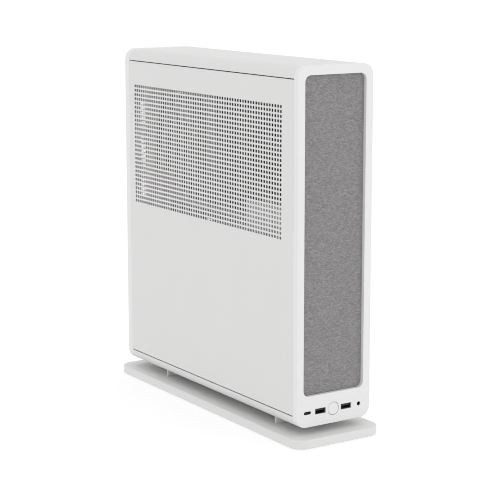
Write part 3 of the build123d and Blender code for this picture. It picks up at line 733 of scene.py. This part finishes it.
def fan_rotor(node, facing, depth, bore, blades):
    """A hub with swept blades on its hinge; sizes in millimetres, facing is 1 or -1 along X.

    A section is turned by its blade's share of the circle plus SWEEP times way to the power 1.4,
    where way runs from 0 at the hub to 1 at the tip.
    """
    low, high = -depth / 2 + BACK_GAP, depth / 2 - FACE_GAP
    hub, tip, around = bore * HUB_SHARE, bore - TIP_GAP, 48
    turn = np.linspace(0, 2 * math.pi, around, endpoint=False)
    circle = np.stack([np.cos(turn), np.sin(turn)], 1)
    profile = hub_profile(hub, low, high)
    points = [np.column_stack([radius * circle, np.full(around, height)]) for radius, height in profile]
    faces = stacked(len(profile), around)
    first = len(profile) * around
    spread = 2 * math.pi / blades * BLADE_FILL
    angle, height = blade_section(spread, high - 1.0, low + 1.0, BLADE_THICK)
    ways = np.linspace(0, 1, 7)
    for blade in range(blades):
        for way in ways:
            radius = hub - ROOT_DEEP + way * (tip - hub + ROOT_DEEP)
            turned = angle * (1 - 0.12 * way) + 2 * math.pi * blade / blades + SWEEP * way ** 1.4
            points.append(np.column_stack([radius * np.cos(turned), radius * np.sin(turned), height]))
        faces += stacked(len(ways), len(angle), first)
        first += len(ways) * len(angle)
    local = np.concatenate(points) * MM
    placed = np.column_stack([facing * local[:, 2], local[:, 0], facing * local[:, 1]])
    placed += np.array(hinge_of[body_of[node]])
    return add_piece(node + "_blades", placed, faces, slot_of[node], body_of[node], (node,), 30)


# Which way the fan faces, how deep its frame is, the frame's bore and the number of blades.
fans = {
    "cooler_fan_rotor": (-1, 15, 43, 9),
    "case_fan_rotor": (1, 25, 66, 9),
    "power_supply_fan_rotor": (-1, 15, 43, 11),
    "graphics_fan_rear_rotor": (1, 15, 43, 11),
    "graphics_fan_front_rotor": (1, 15, 43, 11),
}
for node, numbers in fans.items():
    rotor = fan_rotor(node, *numbers)
    print(rotor.name, "faces:", len(rotor.data.polygons))

# %% [markdown]
# ## Small parts on the boards
# A bare board looks like a toy. Chips, chokes, capacitors and connectors are short columns on a
# rounded outline, eased at the top, and stand on the face that looks out when the left panel is off.


# %% Chips, capacitors and connectors
def small_parts(name, slot, face_x, items):
    """Columns that stand towards -X, each (y, z, width, height, depth, corner) in millimetres.

    Three rounded rectangles make one: at the board, just below the top, and the top, drawn in a bit.
    """
    points, faces, first = [], [], 0
    for y, z, width, height, depth, corner in items:
        ease = min(0.25, depth / 3)
        for inset, lift in ((0, 0), (0, depth - ease), (ease, depth)):
            ring = rounded(width - 2 * inset, height - 2 * inset, corner - inset * 0.9, 5) + (y, z)
            points.append(np.column_stack([np.full(len(ring), face_x - lift), ring]))
        faces += stacked(3, len(ring), first)
        first += 3 * len(ring)
    piece = add_piece(name, np.concatenate(points) * MM, faces, slot, "chassis", sharp=40)
    print(name, "parts:", len(items))
    return piece


def in_a_row(count, y, z, step_y, step_z, *size):
    """Equal parts at equal steps from the first one."""
    return [(y + i * step_y, z + i * step_z, *size) for i in range(count)]


# %% [markdown]
# The main board has its power and drive connectors near the front edge, solid capacitors in rows by
# the processor's power stage, and a few loose chips. Equal parts in a row are given by the first one
# and a step.

# %% The main board
BOARD_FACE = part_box("motherboard")[0].x / MM
SHORT_CAN = (5.6, 5.6, 7.0, 2.8)
TALL_CAN = (6.0, 6.0, 8.0, 3.0)
small_parts("board_capacitors", "bare_aluminium", BOARD_FACE, [
    *in_a_row(3, 21.0, 268.0, 0, -7.0, *SHORT_CAN),
    *in_a_row(3, 28.0, 268.0, 0, -7.0, *SHORT_CAN),
    *in_a_row(6, 57.0, 362.0, 8.5, 0, *SHORT_CAN),
    *in_a_row(9, 145.5, 352.0, 0, -8.0, *TALL_CAN),
])
power_connectors = [(14.0, 326.0, 9.0, 52.0, 11.0, 0.8), (20.0, 385.0, 12.0, 5.0, 8.0, 0.4)]
drive_connectors = [(14.0, 290.0, 8.0, 14.0, 9.0, 0.6), (14.0, 246.0, 9.0, 14.0, 9.0, 0.6)]
pin_header = [(66.0, 233.0, 14.0, 5.0, 6.0, 0.4)]
chips = [
    (96.0, 233.0, 9.0, 9.0, 1.2, 0.3), (122.0, 234.0, 6.0, 6.0, 1.0, 0.3),
    (22.0, 372.0, 7.0, 7.0, 1.0, 0.3), (143.5, 268.0, 7.0, 7.0, 1.2, 0.3),
    (144.0, 252.0, 5.0, 9.0, 1.0, 0.3), (112.0, 234.0, 4.0, 4.0, 0.9, 0.2),
    (82.0, 232.0, 6.0, 4.0, 0.9, 0.2),
]
board_parts = power_connectors + drive_connectors + pin_header + chips
small_parts("board_chips", "black_plastic", BOARD_FACE, board_parts)

# %% [markdown]
# The back of the graphics board looks out on this side. Its memory lies in two rows about the core, a
# square spring frame holds the cooler on from behind, and a long row of small coils runs below them.

# %% The graphics board's back
CARD_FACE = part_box("graphics_board")[0].x / MM
CORE_Y = 73.0
CORE_Z = 105.0
MEMORY_CHIP = (9.0, 6.5, 1.1, 0.3)
small_parts("card_chips", "black_plastic", CARD_FACE, [
    *in_a_row(4, 40.0, CORE_Z - 30.0, 22.0, 0, *MEMORY_CHIP),
    *in_a_row(4, 40.0, CORE_Z + 30.0, 22.0, 0, *MEMORY_CHIP),
    *in_a_row(14, 4.0, 58.0, 9.0, 0, 5.5, 5.5, 2.4, 0.5),
    *in_a_row(3, -8.0, 92.0, 0, 14.0, 6.0, 11.0, 7.0, 0.5),
])
small_parts("card_back_brace", "zinc_steel", CARD_FACE, [
    *in_a_row(2, CORE_Y, CORE_Z - 19.0, 0, 38.0, 44.0, 5.0, 1.6, 2.0),
    *in_a_row(2, CORE_Y - 19.5, CORE_Z, 39.0, 0, 5.0, 33.0, 1.6, 2.0),
])

# %% [markdown]
# ## The cloth front
# The cloth is one sheet stretched over its carrier. It turns back at the rim, so its outermost
# outlines lie deeper, and it dips a little between the carrier's ribs and its edge. A cloth simulation
# would settle to nearly the same shape; here the dip is simply drawn.


# %% Stretched cloth
CLOTH_CORNER = 7
CLOTH_DIP = 0.22


def stretched_cloth(node):
    """Nested rounded rectangles; the dip grows as 1 - exp(-inset / 9), with inset in millimetres."""
    low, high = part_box(node)
    middle = (low + high) / 2
    width, height = high.x - low.x, high.z - low.z
    rim = [(0.0, 0.75), (0.0, 0.45), (0.12, 0.2), (0.4, 0.05)]
    insets = (1, 2, 4, 7, 11, 16, 22, 28, 33, 36)
    field = [(inset, CLOTH_DIP * (1 - math.exp(-inset / 9))) for inset in insets]
    outlines = []
    for inset, depth in rim + field:
        radius = max(CLOTH_CORNER - inset, 1.5) * MM
        ring = rounded(width - 2 * inset * MM, height - 2 * inset * MM, radius, 10)
        deep = np.full(len(ring), low.y + depth * MM)
        outlines.append(np.column_stack([ring[:, 0] + middle.x, deep, ring[:, 1] + middle.z]))
    around = len(ring)
    faces = [skin(len(outlines), around), zip_across((len(outlines) - 1) * around, around, False)]
    cloth = add_piece("front_cloth", np.concatenate(outlines), faces, "grey_fabric", "chassis", (node,), 60)
    return cloth


cloth = stretched_cloth("front_fabric")
print("cloth faces:", len(cloth.data.polygons))

# %% [markdown]
# ## Studio
# The object stands on a table of translucent white sheet that is lit from below, in a white surround,
# so the ground is even and the shadow on it is faint. One broad light at the front right and a weak one
# above give the faces their slightly different shades.

# %% Floor
low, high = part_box("base_pads")
TABLE_REACH = 6.0
corners = ((-1, -1), (1, -1), (1, 1), (-1, 1))
floor_mesh = bpy.data.meshes.new("floor")
floor_mesh.from_pydata([(x * TABLE_REACH, y * TABLE_REACH, low.z) for x, y in corners], [], [(0, 1, 2, 3)])
floor = bpy.data.objects.new("floor", floor_mesh)
bpy.context.scene.collection.objects.link(floor)
table = Finish(
    "lit table", Roughness=0.9, Specular_IOR_Level=0.1, Emission_Strength=0.55, Emission_Color=(1, 1, 1, 1)
)
cloudy = table.noise(table.stretched(3, 3, 3))
table.feed("Base Color", table.between((0.46, 0.46, 0.46), (0.50, 0.50, 0.50), cloudy))
floor_mesh.materials.append(table.material)
print("table reaches", TABLE_REACH, "m each way")

# %% [markdown]
# Real softboxes are lamps behind a large white cloth, so their light has no hard edge. An area light
# does the same. It shines along its own -Z, which is turned to the point that it looks at.


# %% Lights
def softbox(name, place, target, size, power):
    """A square area light that looks at a point: its +Z runs from that point back to the light."""
    light = bpy.data.lights.new(name, "AREA")
    light.size = size
    light.energy = power
    lamp = bpy.data.objects.new(name, light)
    bpy.context.scene.collection.objects.link(lamp)
    back = np.array(place) - np.array(target)
    back /= np.linalg.norm(back)
    lamp.location = place
    lamp.rotation_euler = (math.acos(back[2]), 0, math.atan2(back[0], -back[1]))
    print(name, "at", place)


softbox("front light", (1.9, -2.6, 1.2), (0.0, 0.0, 0.25), 2.4, 10)
softbox("top light", (-0.4, -0.2, 3.2), (0.0, 0.0, 0.0), 3.0, 6)
world = bpy.data.worlds.new("surround")
world.use_nodes = True
surround = world.node_tree.nodes["Background"].inputs
surround["Color"].default_value = (1, 1, 1, 1)
surround["Strength"].default_value = 1.0
bpy.context.scene.world = world

# %% [markdown]
# The picture keeps the finishes' own values, so the view transform is the plain one. The punched holes
# are close to the finest detail a picture of this size can hold, so each point of it gathers light from
# a slightly smaller circle than usual.

# %% Camera
bpy.context.scene.view_settings.view_transform = "Standard"
bpy.context.scene.cycles.filter_width = 1.0
AZIMUTH = math.radians(-33.41)
ELEVATION = math.radians(9.84)
DISTANCE = 1.893
target = np.array([0.0291, 0.0257, 0.2086])
level = math.cos(ELEVATION)
back = np.array([math.sin(AZIMUTH) * level, -math.cos(AZIMUTH) * level, math.sin(ELEVATION)])
camera = bpy.data.cameras.new("camera")
camera.sensor_width = 36
camera.lens = 113.05
camera.shift_y = -0.05
eye = bpy.data.objects.new("camera", camera)
bpy.context.scene.collection.objects.link(eye)
eye.location = target + DISTANCE * back
eye.rotation_euler = (math.pi / 2 - ELEVATION, 0, AZIMUTH)
bpy.context.scene.camera = eye
print("camera at", [round(v, 3) for v in eye.location])
